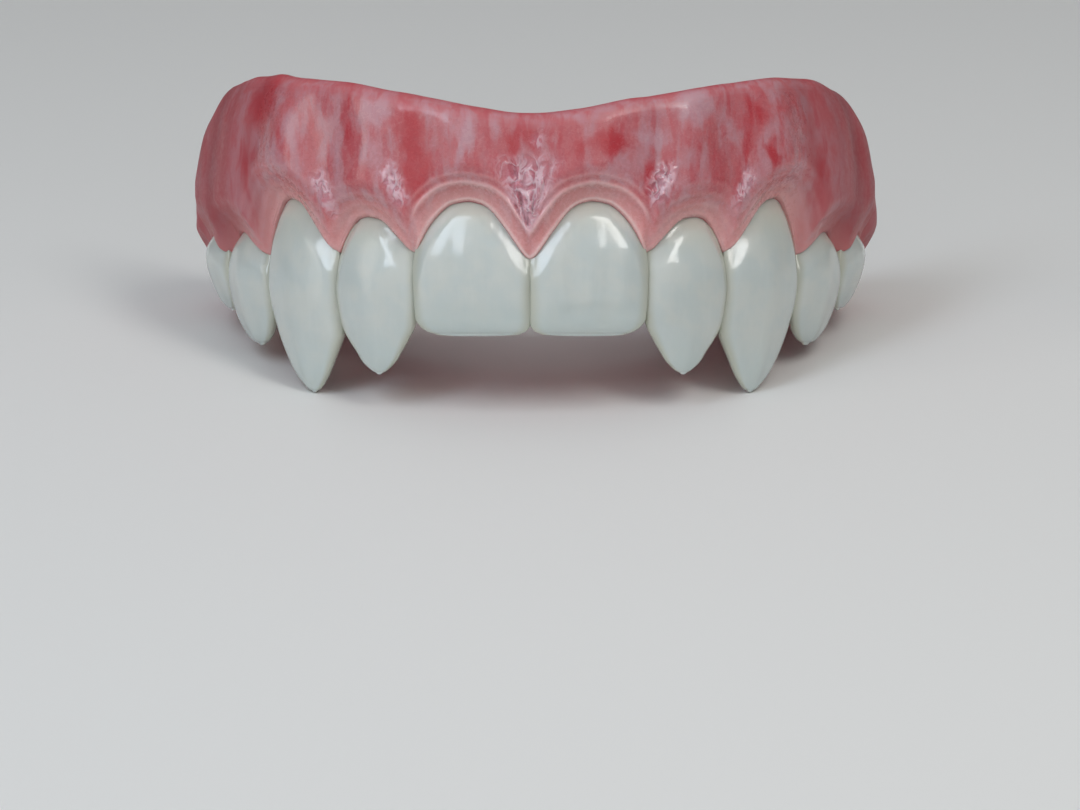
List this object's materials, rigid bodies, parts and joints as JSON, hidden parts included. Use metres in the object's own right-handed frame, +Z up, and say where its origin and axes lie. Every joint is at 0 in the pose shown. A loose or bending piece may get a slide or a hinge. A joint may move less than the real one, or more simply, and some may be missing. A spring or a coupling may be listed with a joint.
{
  "type": "vampire fang denture",
  "caption": "Slip-on upper denture with long vampire fangs: a pink gum trough that fits over the wearer's teeth, carrying separate white acrylic teeth.",
  "frame": {"origin": "centre of the bounding box in plan, on the surface that the denture rests on", "axes": "+X to the viewer's right as seen from the front, +Y from the incisors towards the rear ends, +Z up as the denture rests on the tips of the long fangs and its rear ends"},
  "size_m": [0.0572, 0.0314, 0.0244],
  "materials": {
    "gum": "polished rose-pink acrylic, mottled with crimson and greyish pink, crinkled between the teeth",
    "tooth": "glossy greenish-white acrylic, slightly translucent towards the biting edge"
  },
  "bodies": {
    "root": {"gum_base": "gum", "central_incisor_right": "tooth", "lateral_fang_right": "tooth", "canine_fang_right": "tooth", "first_premolar_right": "tooth", "second_premolar_right": "tooth", "central_incisor_left": "tooth", "lateral_fang_left": "tooth", "canine_fang_left": "tooth", "first_premolar_left": "tooth", "second_premolar_left": "tooth"}
  },
  "joints": []
}
